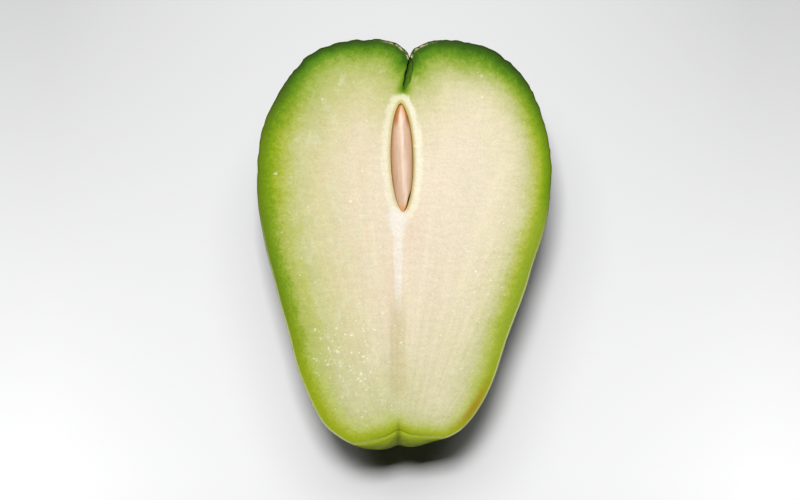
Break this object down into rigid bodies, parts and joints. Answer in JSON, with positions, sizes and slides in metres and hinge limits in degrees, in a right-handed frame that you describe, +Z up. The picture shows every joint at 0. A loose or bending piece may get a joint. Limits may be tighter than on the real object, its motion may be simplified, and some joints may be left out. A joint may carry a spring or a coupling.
{
  "type": "halved chayote",
  "caption": "Half of a chayote, a green vegetable pear, cut lengthwise and lying cut face up, with its flat seed showing in its pocket.",
  "frame": {"origin": "middle of the small flat spot on the rounded back, which the half rests on", "axes": "+Z up, out of the cut face; +Y towards the blossom end with its cleft; +X to the right of the cleft as seen from above with the blossom end ahead"},
  "size_m": [0.0804, 0.1124, 0.0415],
  "materials": {
    "skin_and_flesh": "waxy green skin; moist cream-white flesh that turns green towards the skin",
    "seed": "smooth wet pinkish tan, orange-brown at both tips"
  },
  "bodies": {
    "root": {"fruit_half": "skin_and_flesh", "seed_half": "seed"}
  },
  "joints": []
}
